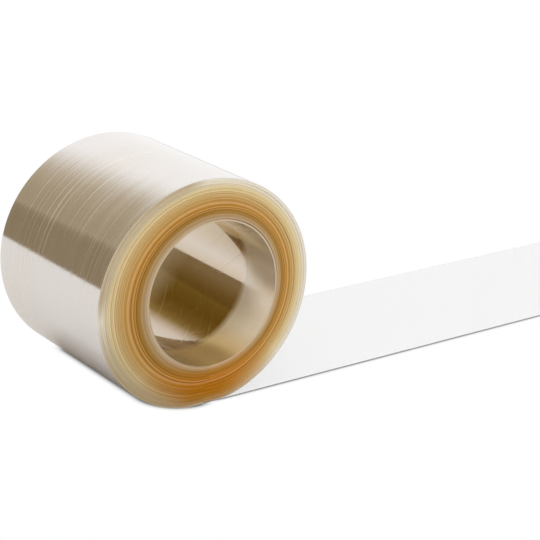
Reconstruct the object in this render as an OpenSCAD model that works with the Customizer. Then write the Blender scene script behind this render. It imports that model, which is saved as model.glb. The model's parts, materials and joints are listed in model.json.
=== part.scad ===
// Roll of clear collar film, lying on its side with its tail laid out flat.
// It is one strip wound without a core. X runs along the tail, Y along the
// roll's axis and Z up, and the origin is the middle of the open bore.

/* [Film] */
// Width of the strip, which is also the length of the roll
film_w = 60; // [30:1:120]
// Thickness of the strip, as the tail shows it
film_t = 0.15; // [0.1:0.05:0.4]
// Length of the tail, from under the bore's axis to its square-cut end
tail_len = 236; // [80:1:400]

/* [Roll] */
// Diameter of the open bore
bore_d = 46.6; // [30:0.2:80]
// Number of turns modelled, each standing for several real ones
turns = 20; // [10:1:26]
// Radius that each modelled turn adds
turn_build = 0.7; // [0.5:0.05:1.2]
// How far the innermost turn stands out of the front end
telescope = 2; // [0.5:0.1:5]
// How far the outermost turn's centre lies off the bore's axis, away from the tail
drift = 1.6; // [0:0.1:2.5]
// How deep the roll is pressed flat where it rests
flat_depth = 0.65; // [0.3:0.05:1.5]

/* [Loose turns] */
// Widest gap beside a turn that has sprung loose
slack = 0.5; // [0.35:0.05:0.8]
// Half of the angle that a gap spans
slack_spread = 55; // [20:1:65]
// Direction of the loose outer turn, from the tail's side upwards
outer_slack_angle = 4; // [-20:1:60]
// Direction of the loose turn halfway in
mid_slack_angle = 4.5; // [-20:0.5:60]
// Direction of the loose innermost turn
inner_slack_angle = 40; // [0:1:90]

/* [Hidden] */
$fn = 96;
bore_r = bore_d / 2;
roll_r = bore_r + turns * turn_build;
front_y = -film_w / 2;
back_y = film_w / 2;
// Length by which a cutting shape runs past what it cuts
past = 1;
// Length of the tail that lies inside the roll's foot
tail_root = 3;
// Gaps as the share of the turns inside them, and their direction
gaps = [[0.9, outer_slack_angle], [0.6, mid_slack_angle], [0.1, inner_slack_angle]];
// Golden angle, which gives the turns uneven steps that never repeat
golden = 137.5;

// Height of what the roll rests on
floor_z = flat_depth - roll_r;

// Outer radius of a turn, and where its centre lies
function turn_r(k) = bore_r + k * turn_build;
function turn_x(k) = -drift * k / turns;

// Size of the step from one turn to the next one outside it
function step(k) = 0.25 + pow(sin(k * golden), 2);
function steps(k) = k >= turns ? 0 : step(k) + steps(k + 1);

// How far a turn stands out of the front, and lies back at the other end
function proud(k) = telescope * steps(k) / steps(0);

// A flat shape in X and Z, carried along the roll's axis
module along_axis(from_y, to_y) {
    translate([0, to_y, 0]) rotate([90, 0, 0]) linear_extrude(to_y - from_y) children();
}

// Outline of the roll out to one turn
module turn_outline(k) {
    translate([turn_x(k), 0]) circle(turn_r(k));
}

// The turns, stepped at both ends because the inner ones have slid forwards
module wound_turns() {
    difference() {
        union() {
            along_axis(front_y, back_y) turn_outline(turns);
            for (k = [1 : turns - 1]) along_axis(front_y - proud(k), 0) turn_outline(k);
        }
        for (k = [1 : turns - 1]) along_axis(back_y - proud(k), back_y + past) turn_outline(k);
    }
}

// The block below the floor, which the roll is pressed flat against
module floor_block() {
    reach = 2 * roll_r;
    translate([-reach, -film_w, floor_z - reach]) cube([2 * reach, 2 * film_w, reach]);
}

// A crescent of air beside a turn that has sprung loose
module slack_gap(k, angle) {
    reach = 2 * roll_r;
    toward = [cos(angle), sin(angle)];
    one_side = [cos(angle - slack_spread), sin(angle - slack_spread)];
    other_side = [cos(angle + slack_spread), sin(angle + slack_spread)];
    along_axis(front_y - telescope - past, back_y + past) intersection() {
        difference() {
            translate(slack * toward) turn_outline(k);
            turn_outline(k);
        }
        polygon([[0, 0], reach * one_side, reach * other_side]);
    }
}

// The open bore, round and true from end to end
module bore() {
    along_axis(front_y - telescope - past, back_y + past) circle(bore_r);
}

// The strip's free end, which lies flat on what the roll rests on
module tail() {
    translate([-tail_root, front_y, floor_z]) cube([tail_root + tail_len, film_w, film_t]);
}

// The whole roll, one strip from its bore to the end of its tail
module film_roll() {
    color([0.86, 0.80, 0.66]) union() {
        difference() {
            wound_turns();
            floor_block();
            bore();
            for (gap = gaps) slack_gap(round(gap[0] * turns), gap[1]);
        }
        tail();
    }
}

film_roll();
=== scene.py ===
# Looks of a roll of clear collar film: one strip wound without a core, its tail laid out flat.
# Metres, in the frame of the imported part: X along the tail, Y along the roll's axis, Z up.
import json
import math

import bpy
from mathutils import Matrix, Vector, noise


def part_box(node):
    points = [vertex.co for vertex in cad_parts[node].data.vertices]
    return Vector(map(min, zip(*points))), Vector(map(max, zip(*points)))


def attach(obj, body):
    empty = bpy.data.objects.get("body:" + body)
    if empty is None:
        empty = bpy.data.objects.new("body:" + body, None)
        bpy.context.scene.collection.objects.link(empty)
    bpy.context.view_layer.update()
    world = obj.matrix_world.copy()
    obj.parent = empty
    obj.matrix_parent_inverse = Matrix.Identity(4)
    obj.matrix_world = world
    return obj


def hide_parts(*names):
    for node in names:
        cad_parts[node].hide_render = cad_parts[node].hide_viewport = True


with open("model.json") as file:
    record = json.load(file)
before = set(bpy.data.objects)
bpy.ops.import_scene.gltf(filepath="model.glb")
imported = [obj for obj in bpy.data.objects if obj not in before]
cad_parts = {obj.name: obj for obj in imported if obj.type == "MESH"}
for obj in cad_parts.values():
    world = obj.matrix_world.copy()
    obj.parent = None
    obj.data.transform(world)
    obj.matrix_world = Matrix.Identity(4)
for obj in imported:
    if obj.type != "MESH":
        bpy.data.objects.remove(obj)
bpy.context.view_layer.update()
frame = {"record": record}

# Sizes of the roll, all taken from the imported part
BORE = next(m for m in frame["record"]["mounts"] if m["name"] == "spindle_bore")
BORE_R = BORE["dims"]["r_mm"] / 1000
WIDTH = BORE["dims"]["length_mm"] / 1000
LOW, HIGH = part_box("film_roll")
FLOOR_Z = LOW[2]
ROLL_R = HIGH[2]
TAIL_END = HIGH[0]
DRIFT = -LOW[0] - ROLL_R
TELESCOPE = -LOW[1] - WIDTH / 2

# Sizes of the strip and of its winding
FILM_T = 0.00015
TURNS = 60
STEPS = 144
LAST = TURNS - 1
SLACK = 0.00022
SLACK_SPREAD = math.radians(70)
# Each group of turns: its first turn, and the direction in which it stands off the group inside it
GROUPS = [(-0.25, None), (3, 40), (36, 5), (54, 3)]
WOBBLE = 0.00016
# The soft roll sags: its outermost turn is wider, lower and further down than the true round bore
WIDER = 0.037
LOWER = 0.008
SAG = 0.0003
# How gently a turn runs into the flat spot
EASING = 0.00035
# Where the tail has squared up with the roll, and in how many parts it goes on from there
TAIL_SETTLED = 0.012
TAIL_PARTS = 24
# Creases sharper than this stay sharp when the strip is shaded
SHARP = math.radians(35)
# Depth of the fine scratches, as the light sees them
SCRATCH_DEPTH = 0.0002

# Camera, fitted to the photograph's frame of 540 x 540 pixels
FRAME_PX = 540
FOCAL_PX = 1715.1
CAMERA_AT = Vector((-0.2826, -0.4343, 0.1841))
AZIMUTH = -0.6465
ELEVATION = 0.3428
ROLL = 0.0377


def rgb(red, green, blue):
    """A colour given as 0 to 255 on screen, in the linear values that a shader takes."""
    def linear(c):
        c = c / 255
        return c / 12.92 if c <= 0.04045 else ((c + 0.055) / 1.055) ** 2.4
    return (linear(red), linear(green), linear(blue), 1.0)


# The winding

def direction(turn):
    """Angle of a point on the spiral, which ends under the roll."""
    return -math.pi / 2 + 2 * math.pi * (turn - LAST)


def stand_off(group, angle):
    """How far a group of turns stands off the ones inside it, in one direction."""
    toward = GROUPS[group][1]
    if toward is None:
        return 0.0
    off = math.cos(angle - math.radians(toward)) - math.cos(SLACK_SPREAD)
    return SLACK * max(0.0, off) / (1 - math.cos(SLACK_SPREAD))


def face_point(turn, angle, group):
    """X and Z of the strip's inner face at a turn, pressed flat against the floor."""
    total = sum(stand_off(g, angle) for g in range(len(GROUPS)))
    below = sum(stand_off(g, angle) for g in range(group + 1))
    build = (ROLL_R - BORE_R) * (1 + 0.5 / TURNS)
    share = turn / TURNS
    radius = BORE_R + (build - total) * share + below
    wide, high, drop = 1 + WIDER * share, 1 - LOWER * share, SAG * share
    lowest = -(BORE_R + build) * (1 - LOWER) - SAG
    press = (FLOOR_Z - lowest) * share ** 2
    round_z = radius * high * math.sin(angle) - drop
    flat_z = -(BORE_R + build * share) * high - drop + press
    z = (round_z + flat_z + math.hypot(round_z - flat_z, EASING * share)) / 2
    return radius * wide * math.cos(angle) - DRIFT * share, z


def slid(turn):
    """How far forward the strip lies at a turn, with the uneven winding of a real roll."""
    lean = TELESCOPE * (1 - (turn + 1) / TURNS)
    slow = noise.noise(Vector((turn * 0.23, 3.1, 0.0)))
    each = noise.noise(Vector((math.floor(turn + 0.5) * 7.31, 9.7, turn * 0.4)))
    return lean + WOBBLE * (1.3 * slow + 1.2 * each)


class Strip:
    """Collects the points and faces of one closed mesh."""

    def __init__(self):
        self.points, self.depth, self.tint, self.low, self.arc = [], [], [], [], []
        self.faces, self.kinds = [], []

    def point(self, x, y, z, turn):
        self.points.append((x, y, z))
        self.depth.append(turn / TURNS)
        self.tint.append(0.5 + 0.5 * noise.noise(Vector((math.floor(turn) * 3.7, turn * 0.35, 1.7))))
        self.low.append(-math.sin(direction(turn)))
        self.arc.append(x if turn >= LAST and x > 0 else direction(turn) * BORE_R)
        return len(self.points) - 1

    def face(self, kind, *corners):
        self.faces.append(corners)
        self.kinds.append(kind)


OUTSIDE, INSIDE, EDGE, TAIL, TAIL_EDGE = range(5)


def wind(strip, group):
    """One closed group of turns. Returns its last four points, where the strip leaves it."""
    first = GROUPS[group][0]
    last = GROUPS[group + 1][0] if group + 1 < len(GROUPS) else LAST
    inner_kind = INSIDE if group == 0 else EDGE
    outer_kind = OUTSIDE if last == LAST else EDGE
    inner_f, outer_f, inner_b, outer_b = [], [], [], []
    for i in range(round((last - first) * STEPS) + 1):
        turn = first + i / STEPS
        angle = direction(turn)
        front, back = -WIDTH / 2 - slid(turn), WIDTH / 2 - slid(turn)
        x0, z0 = face_point(turn, angle, group)
        x1, z1 = face_point(turn + 1, angle, group)
        inner_f.append(strip.point(x0, front, z0, turn))
        outer_f.append(strip.point(x1, front, z1, turn))
        inner_b.append(strip.point(x0, back, z0, turn))
        outer_b.append(strip.point(x1, back, z1, turn))
    for i in range(len(inner_f) - 1):
        j = i + 1
        strip.face(EDGE, inner_f[i], outer_f[i], outer_f[j], inner_f[j])
        strip.face(EDGE, inner_b[j], outer_b[j], outer_b[i], inner_b[i])
        if i < STEPS:
            strip.face(inner_kind, inner_f[j], inner_b[j], inner_b[i], inner_f[i])
        if i >= len(inner_f) - 1 - STEPS:
            strip.face(outer_kind, outer_f[i], outer_b[i], outer_b[j], outer_f[j])
        else:
            p, q = i + STEPS, j + STEPS
            strip.face(EDGE, outer_f[i], inner_f[p], inner_f[q], outer_f[j])
            strip.face(EDGE, outer_b[j], inner_b[q], inner_b[p], outer_b[i])
    strip.face(EDGE, inner_f[0], inner_b[0], outer_b[0], outer_f[0])
    return inner_f[-1], outer_f[-1], inner_b[-1], outer_b[-1]


def close_end(strip, corners, kind):
    """Closes the strip where a group of turns, or the tail, ends."""
    top_f, low_f, top_b, low_b = corners
    strip.face(kind, top_f, low_f, low_b, top_b)


def lay_tail(strip, corners):
    """The free end, flat on the floor and square at its end."""
    part = (TAIL_END - TAIL_SETTLED) / TAIL_PARTS
    stations = [TAIL_SETTLED * share for share in (0.25, 0.5)]
    stations += [TAIL_SETTLED + part * k for k in range(TAIL_PARTS + 1)]
    slide = slid(LAST)
    for x in stations:
        settle = min(1.0, x / TAIL_SETTLED)
        shift = slide * (1 - settle)
        front, back = -WIDTH / 2 - shift, WIDTH / 2 - shift
        top, low = FLOOR_Z + FILM_T, FLOOR_Z
        new = (strip.point(x, front, top, LAST), strip.point(x, front, low, LAST),
               strip.point(x, back, top, LAST), strip.point(x, back, low, LAST))
        strip.face(TAIL, corners[0], new[0], new[2], corners[2])
        strip.face(TAIL, corners[3], new[3], new[1], corners[1])
        strip.face(TAIL_EDGE, corners[1], new[1], new[0], corners[0])
        strip.face(TAIL, corners[2], new[2], new[3], corners[3])
        corners = new
    close_end(strip, corners, TAIL_EDGE)


def make_strip(materials):
    """The whole strip as one object, from its inner end to the end of its tail."""
    strip = Strip()
    for group in range(len(GROUPS)):
        corners = wind(strip, group)
        if group + 1 < len(GROUPS):
            close_end(strip, corners, EDGE)
    lay_tail(strip, corners)
    mesh = bpy.data.meshes.new("film_strip")
    mesh.from_pydata(strip.points, [], strip.faces)
    for material in materials:
        mesh.materials.append(material)
    mesh.polygons.foreach_set("material_index", strip.kinds)
    values_of = {"depth": strip.depth, "tint": strip.tint, "low": strip.low, "arc": strip.arc}
    for name, values in values_of.items():
        mesh.attributes.new(name, "FLOAT", "POINT").data.foreach_set("value", values)
    mesh.polygons.foreach_set("use_smooth", [True] * len(strip.faces))
    mesh.set_sharp_from_angle(angle=SHARP)
    mesh.validate()
    piece = bpy.data.objects.new("film_strip", mesh)
    bpy.context.scene.collection.objects.link(piece)
    return piece


# Materials

class Nodes:
    """Short calls for building a node tree."""

    def __init__(self, tree):
        self.tree = tree
        tree.nodes.clear()

    def add(self, kind, inputs=(), **settings):
        node = self.tree.nodes.new(kind)
        for name, value in settings.items():
            setattr(node, name, value)
        for name, value in dict(inputs).items():
            self.set(node, name, value)
        return node

    def set(self, node, name, value):
        if isinstance(value, bpy.types.NodeSocket):
            self.tree.links.new(value, node.inputs[name])
        else:
            node.inputs[name].default_value = value

    def math(self, operation, a, b=0.0):
        return self.add("ShaderNodeMath", {0: a, 1: b}, operation=operation).outputs[0]

    def share(self, value, scale, start=0.5):
        """A measure brought into a ramp's range, with its zero at start."""
        return self.math("ADD", self.math("MULTIPLY", value, scale), start)

    def mix(self, share, a, b, blend="MIX"):
        node = self.add("ShaderNodeMix", data_type="RGBA", blend_type=blend)
        self.set(node, 0, share)
        self.set(node, 6, a)
        self.set(node, 7, b)
        return node.outputs[2]

    def ramp(self, value, stops, mode="LINEAR"):
        node = self.add("ShaderNodeValToRGB", {"Fac": value})
        node.color_ramp.interpolation = mode
        while len(node.color_ramp.elements) < len(stops):
            node.color_ramp.elements.new(1.0)
        for element, (at, colour) in zip(node.color_ramp.elements, stops):
            element.position, element.color = at, colour
        return node.outputs["Color"]

    def grey(self, value, stops, mode="LINEAR"):
        return self.ramp(value, [(at, (level, level, level, 1.0)) for at, level in stops], mode)

    def attribute(self, name):
        return self.add("ShaderNodeAttribute", attribute_name=name).outputs["Fac"]

    def noise(self, vector, scale, detail=3.0):
        mapped = self.add("ShaderNodeMapping", {"Vector": vector, "Scale": scale}).outputs[0]
        settings = {"Vector": mapped, "Scale": 1.0, "Detail": detail, "Roughness": 0.55}
        return self.add("ShaderNodeTexNoise", settings).outputs[0]

    def lowness(self):
        """0 at the top of a turn and 1 at its bottom."""
        return self.share(self.attribute("low"), 0.5)

    def place(self):
        return self.add("ShaderNodeTexCoord").outputs["Object"]

    def axes(self, vector):
        return self.add("ShaderNodeSeparateXYZ", {0: vector}).outputs

    def scratched(self, shader, strength, height):
        """Fine scratches, too shallow to be shape."""
        bump = self.add("ShaderNodeBump",
                        {"Strength": strength, "Distance": SCRATCH_DEPTH, "Height": height})
        self.set(shader, "Normal", bump.outputs[0])

    def unrolled(self, turn=0.0):
        """The face laid flat: metres along the strip, and metres across it."""
        across = self.axes(self.place())[1]
        flat = self.add("ShaderNodeCombineXYZ", {0: self.attribute("arc"), 1: across}).outputs[0]
        return self.add("ShaderNodeMapping", {"Vector": flat, "Rotation": (0.0, 0.0, turn)}).outputs[0]


def new_material(name):
    material = bpy.data.materials.new(name)
    material.use_nodes = True
    nodes = Nodes(material.node_tree)
    output = nodes.add("ShaderNodeOutputMaterial")
    shader = nodes.add("ShaderNodeBsdfPrincipled")
    nodes.tree.links.new(shader.outputs[0], output.inputs[0])
    return material, nodes, shader


def outside_material():
    """Many clear plies seen through each other: a pale, very glossy face with fine scratches round it."""
    material, nodes, shader = new_material("film_outside")
    flat = nodes.unrolled()
    hairline = nodes.noise(flat, (14.0, 2600.0, 1.0), detail=3.0)
    streak = nodes.noise(flat, (25.0, 500.0, 1.0), detail=2.0)
    cloud = nodes.noise(flat, (24.0, 30.0, 1.0), detail=2.0)
    tone = nodes.mix(nodes.grey(cloud, [(0.35, 0.0), (0.7, 1.0)]), rgb(238, 233, 231), rgb(234, 227, 219))
    scratch = nodes.math("MULTIPLY", nodes.grey(hairline, [(0.57, 0.0), (0.68, 1.0)]),
                         nodes.grey(cloud, [(0.38, 0.0), (0.58, 1.0)]))
    nodes.set(shader, "Base Color", nodes.mix(scratch, tone, rgb(254, 251, 244)))
    nodes.set(shader, "Metallic", nodes.math("SUBTRACT", 0.93, nodes.math("MULTIPLY", scratch, 0.45)))
    nodes.set(shader, "Roughness", nodes.grey(streak, [(0.3, 0.05), (0.75, 0.15)]))
    nodes.set(shader, "IOR", 1.6)
    nodes.set(shader, "Coat Weight", 0.4)
    nodes.set(shader, "Coat Roughness", 0.03)
    height = nodes.math("ADD", nodes.math("MULTIPLY", hairline, 0.5), streak)
    nodes.scratched(shader, 0.12, height)
    return material


def inside_material():
    """The bore: the same film, with scratches both ways, and painted light in its colour: a painted
    reflection of the dim corner, warmer and darker toward the bottom where light crosses more plies, and
    paler toward the ends.
    """
    material, nodes, shader = new_material("film_inside")
    one_way = nodes.noise(nodes.unrolled(0.9), (40.0, 2600.0, 1.0), detail=2.0)
    other_way = nodes.noise(nodes.unrolled(-0.7), (40.0, 2200.0, 1.0), detail=2.0)
    round_way = nodes.noise(nodes.unrolled(), (20.0, 900.0, 1.0), detail=2.0)
    hair = nodes.math("MAXIMUM", nodes.grey(one_way, [(0.64, 0.0), (0.76, 0.6)]),
                      nodes.grey(other_way, [(0.64, 0.0), (0.76, 0.6)]))
    low = nodes.lowness()
    # Painted reflection of the dim corner: amber and darker toward the bottom of the bore
    painted_reflection = nodes.ramp(low, [
        (0.30, rgb(232, 214, 186)), (0.52, rgb(238, 226, 212)), (0.62, rgb(224, 206, 182)),
        (0.665, rgb(222, 202, 174)), (0.75, rgb(190, 161, 100)), (0.81, rgb(164, 134, 60)),
        (0.895, rgb(142, 110, 26)), (0.968, rgb(158, 127, 62)), (0.998, rgb(208, 190, 172))])
    # Painted light: the bore paler toward its ends
    near = nodes.ramp(low, [
        (0.30, rgb(250, 238, 212)), (0.50, rgb(248, 238, 222)), (0.66, rgb(254, 246, 236)),
        (0.86, rgb(255, 246, 230)), (0.96, rgb(232, 207, 152)), (1.00, rgb(226, 198, 138))])
    # The painted reflection begins about 16 mm behind the front end and fades to half at the back end
    way_in = nodes.share(nodes.axes(nodes.place())[1], 10.0)
    inward = nodes.grey(way_in, [(0.325, 0.0), (0.355, 1.0), (0.66, 1.0), (0.78, 0.5)])
    tone = nodes.mix(inward, near, painted_reflection)
    nodes.set(shader, "Base Color", nodes.mix(hair, tone, rgb(226, 208, 168)))
    metal = nodes.share(inward, 0.32, 0.62)
    nodes.set(shader, "Metallic", nodes.math("SUBTRACT", metal, nodes.math("MULTIPLY", hair, 0.3)))
    rough = nodes.math("SUBTRACT", 0.2, nodes.math("MULTIPLY", inward, 0.13))
    nodes.set(shader, "Roughness", rough)
    height = nodes.math("ADD", nodes.math("MULTIPLY", hair, 0.5), round_way)
    nodes.scratched(shader, 0.10, height)
    return material


def edge_material():
    """The cut edges of the turns: pale at both ends of the winding, amber where they pile up, with
    painted shade on the outer rim at upper left and toward the lower left.
    """
    material, nodes, shader = new_material("film_edges")
    depth = nodes.attribute("depth")
    tint = nodes.attribute("tint")
    shifted = nodes.math("ADD", depth, nodes.math("MULTIPLY", nodes.math("SUBTRACT", tint, 0.5), 0.10))
    upper = nodes.ramp(shifted, [
        (0.00, rgb(210, 188, 160)), (0.10, rgb(194, 162, 116)), (0.20, rgb(178, 132, 58)),
        (0.32, rgb(182, 130, 40)), (0.46, rgb(200, 154, 80)), (0.60, rgb(216, 182, 122)),
        (0.76, rgb(229, 210, 162)), (0.88, rgb(235, 224, 202)), (1.00, rgb(243, 239, 231))])
    lower = nodes.ramp(shifted, [
        (0.00, rgb(206, 178, 140)), (0.12, rgb(188, 132, 48)), (0.30, rgb(192, 122, 6)),
        (0.55, rgb(190, 120, 4)), (0.78, rgb(192, 130, 30)), (0.92, rgb(200, 160, 100)),
        (1.00, rgb(226, 214, 196))])
    low = nodes.lowness()
    colour = nodes.mix(nodes.grey(low, [(0.84, 0.0), (0.995, 1.0)]), upper, lower)
    streak = nodes.grey(tint, [(0.3, 0.72), (0.5, 1.0), (0.72, 1.20)])
    colour = nodes.mix(0.8, colour, streak, blend="MULTIPLY")
    colour = nodes.mix(nodes.grey(tint, [(0.60, 0.0), (0.68, 0.32)]), colour, rgb(226, 190, 156))
    place = nodes.axes(nodes.place())
    # Painted shade on the outer rim at upper left
    risen = nodes.share(nodes.math("SUBTRACT", place[2], place[0]), 8.0)
    painted_rim_shade = nodes.math("MULTIPLY", nodes.grey(risen, [(0.80, 0.0), (0.85, 1.0)]),
                     nodes.grey(depth, [(0.70, 0.0), (0.90, 0.85)]))
    colour = nodes.mix(painted_rim_shade, colour, rgb(196, 176, 140))
    # Painted shade on the outer rim toward the lower left, near the floor
    fallen = nodes.share(nodes.math("ADD", place[0], place[2]), 8.0)
    foot = nodes.math("MULTIPLY", nodes.grey(fallen, [(0.07, 0.9), (0.17, 0.0)]),
                      nodes.grey(depth, [(0.60, 0.0), (0.80, 1.0)]))
    colour = nodes.mix(foot, colour, rgb(192, 170, 128))
    # Painted shade: the whole end face darker toward the lower left, near the floor
    shade = nodes.grey(fallen, [(0.05, 0.84), (0.22, 0.94), (0.36, 1.0)])
    colour = nodes.mix(1.0, colour, shade, blend="MULTIPLY")
    nodes.set(shader, "Base Color", colour)
    nodes.set(shader, "Roughness", nodes.grey(tint, [(0.3, 0.25), (0.8, 0.45)]))
    nodes.set(shader, "IOR", 1.45)
    nodes.set(shader, "Specular IOR Level", 0.12)
    return material


def tail_material():
    """One clear ply, which shows what it lies on with a slight grey cast."""
    material, nodes, shader = new_material("film_clear")
    cloud = nodes.noise(nodes.place(), (25.0, 60.0, 25.0), detail=2.0)
    nodes.set(shader, "Base Color", nodes.mix(cloud, rgb(234, 234, 236), rgb(242, 241, 242)))
    nodes.set(shader, "Roughness", nodes.grey(cloud, [(0.3, 0.04), (0.7, 0.10)]))
    nodes.set(shader, "Alpha", 0.20)
    nodes.set(shader, "IOR", 1.5)
    return material


def tail_edge_material():
    """The cut edge of the tail, which carries the light along the ply and looks darker."""
    material, nodes, shader = new_material("film_cut")
    grain = nodes.noise(nodes.place(), (900.0, 900.0, 900.0), detail=1.0)
    nodes.set(shader, "Base Color", nodes.mix(grain, rgb(80, 79, 76), rgb(108, 106, 102)))
    nodes.set(shader, "Roughness", 0.25)
    return material


# Studio

WHITE = (1.0, 1.0, 1.0, 1.0)
# Half the size of the table, and how far it lies below the roll, so that no faces coincide
TABLE_REACH = 0.47
TABLE_DROP = 0.00003
# Where the roll's contact shadow starts to round the front corner, and the scale of its ramps
SHADOW_CORNER = (-0.0032, -0.0166)
SHADOW_SCALE = 50.0
# Slopes of the dim corner's right edge and of its tone line, and how far back each starts
EDGE_SLOPE, EDGE_FROM = 2.5, 0.83
LINE_SLOPE, LINE_FROM = 2.0, 0.835


def add_floor():
    """A small white table, whose far edge the roll reflects, with a tight shadow under the roll."""
    mesh = bpy.data.meshes.new("floor")
    corners = [(x * TABLE_REACH, y * TABLE_REACH, 0) for x, y in ((-1, -1), (1, -1), (1, 1), (-1, 1))]
    mesh.from_pydata(corners, [], [(0, 1, 2, 3)])
    floor = bpy.data.objects.new("floor", mesh)
    floor.location.z = FLOOR_Z - TABLE_DROP
    bpy.context.scene.collection.objects.link(floor)
    material = bpy.data.materials.new("white_floor")
    material.use_nodes = True
    nodes = Nodes(material.node_tree)
    output = nodes.add("ShaderNodeOutputMaterial")
    place = nodes.axes(nodes.place())
    # What the roll's glossy faces reflect: a pale table, with a painted shadow under the roll
    wide = nodes.grey(nodes.share(place[0], 5.0), [(0.265, 0.0), (0.375, 1.0), (0.50, 1.0), (0.56, 0.0)])
    long = nodes.grey(nodes.share(place[1], 10.0), [(0.02, 0.0), (0.20, 1.0), (0.74, 1.0), (0.88, 0.0)])
    under = nodes.math("MULTIPLY", wide, long)
    white = nodes.add("ShaderNodeBsdfDiffuse",
                      {"Color": nodes.mix(under, (0.94, 0.94, 0.94, 1.0), (0.62, 0.58, 0.53, 1.0))})
    # What the camera sees: pure white, with a tight shadow along the roll's foot
    beyond = nodes.add("ShaderNodeCombineXYZ", {
        0: nodes.math("MAXIMUM", nodes.math("SUBTRACT", SHADOW_CORNER[0], place[0]), 0.0),
        1: nodes.math("MAXIMUM", nodes.math("SUBTRACT", SHADOW_CORNER[1], place[1]), 0.0)}).outputs[0]
    away = nodes.add("ShaderNodeVectorMath", {0: beyond}, operation="LENGTH").outputs["Value"]
    tight = nodes.grey(nodes.math("MULTIPLY", away, SHADOW_SCALE), [
        (0.67, 1.0), (0.70, 0.82), (0.73, 0.52), (0.75, 0.33), (0.77, 0.17), (0.80, 0.06), (0.84, 0.0)])
    beside = nodes.grey(nodes.share(place[0], SHADOW_SCALE), [(0.35, 1.0), (0.60, 0.0)])
    behind = nodes.grey(nodes.math("MULTIPLY", place[1], 10.0), [(0.30, 1.0), (0.36, 0.0)])
    shadow = nodes.math("MULTIPLY", nodes.math("MULTIPLY", tight, beside), behind)
    # And a thin line of shadow along the tail's near edge
    before = nodes.grey(nodes.share(place[1], 100.0, 3.5), [
        (0.33, 0.0), (0.42, 0.22), (0.455, 0.62), (0.505, 0.72), (0.51, 0.0)])
    along = nodes.grey(nodes.share(place[0], 2.0), [(0.50, 0.0), (0.51, 1.0), (0.970, 1.0), (0.974, 0.0)])
    tail_line = nodes.math("MULTIPLY", before, along)
    shown = nodes.mix(nodes.math("MAXIMUM", shadow, tail_line), WHITE, rgb(78, 75, 72))
    lift = nodes.add("ShaderNodeEmission", {"Color": shown, "Strength": 1.0})
    seen = nodes.add("ShaderNodeLightPath").outputs["Is Camera Ray"]
    both = nodes.add("ShaderNodeMixShader", {0: seen, 1: white.outputs[0], 2: lift.outputs[0]})
    nodes.tree.links.new(both.outputs[0], output.inputs[0])
    mesh.materials.append(material)


def add_world():
    """A white room with a dim, warm corner behind the roll, which its glossy faces reflect."""
    world = bpy.data.worlds.new("studio")
    bpy.context.scene.world = world
    world.use_nodes = True
    nodes = Nodes(world.node_tree)
    output = nodes.add("ShaderNodeOutputWorld")
    way = nodes.add("ShaderNodeTexCoord").outputs["Generated"]
    axes = nodes.axes(way)
    slant = nodes.math("MULTIPLY", nodes.math("SUBTRACT", axes[1], EDGE_FROM), EDGE_SLOPE)
    leftward = nodes.share(nodes.math("ADD", axes[0], slant), -0.5)
    upward = nodes.share(axes[2], 0.5)
    backward = nodes.share(axes[1], 0.5)
    left = nodes.grey(leftward, [(0.39, 0.0), (0.45, 0.25), (0.51, 0.72), (0.57, 1.0)])
    height = nodes.grey(upward, [(0.43, 0.0), (0.44, 1.0), (0.84, 1.0), (0.92, 0.0)])
    back = nodes.grey(backward, [(0.60, 0.0), (0.72, 1.0)])
    dim = nodes.math("MULTIPLY", nodes.math("MULTIPLY", left, height), back)
    tilt = nodes.math("MULTIPLY", nodes.math("SUBTRACT", axes[1], LINE_FROM), LINE_SLOPE)
    level = nodes.share(nodes.math("ADD", axes[2], tilt), 0.5)
    corner = nodes.ramp(level, [
        (0.45, rgb(136, 119, 88)), (0.62, rgb(136, 119, 88)), (0.644, rgb(144, 128, 97)),
        (0.654, rgb(182, 169, 143)), (0.660, rgb(160, 145, 115)), (0.73, rgb(168, 153, 124)),
        (0.79, rgb(190, 176, 152))])
    colour = nodes.mix(dim, WHITE, corner)
    seen = nodes.add("ShaderNodeLightPath").outputs["Is Camera Ray"]
    shown = nodes.mix(seen, colour, WHITE)
    light = nodes.add("ShaderNodeBackground", {"Color": shown, "Strength": 1.0})
    nodes.tree.links.new(light.outputs[0], output.inputs[0])


def add_camera():
    """The photograph's view of the roll, from the left and a little above."""
    data = bpy.data.cameras.new("camera")
    camera = bpy.data.objects.new("camera", data)
    bpy.context.scene.collection.objects.link(camera)
    bpy.context.scene.camera = camera
    data.sensor_width = 36.0
    data.lens = FOCAL_PX / FRAME_PX * data.sensor_width
    data.clip_start, data.clip_end = 0.02, 50.0
    ahead = Vector((-math.sin(AZIMUTH) * math.cos(ELEVATION),
                    math.cos(AZIMUTH) * math.cos(ELEVATION), -math.sin(ELEVATION)))
    level = Vector((math.cos(AZIMUTH), math.sin(AZIMUTH), 0.0))
    upright = level.cross(ahead)
    right = math.cos(ROLL) * level + math.sin(ROLL) * upright
    up = math.cos(ROLL) * upright - math.sin(ROLL) * level
    turned = Matrix((right, up, -ahead)).transposed().to_4x4()
    camera.matrix_world = Matrix.Translation(CAMERA_AT) @ turned


add_camera()
strip = make_strip([outside_material(), inside_material(), edge_material(),
                    tail_material(), tail_edge_material()])
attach(strip, "root")
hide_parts("film_roll")
add_floor()
add_world()
bpy.context.scene.view_settings.view_transform = "Standard"
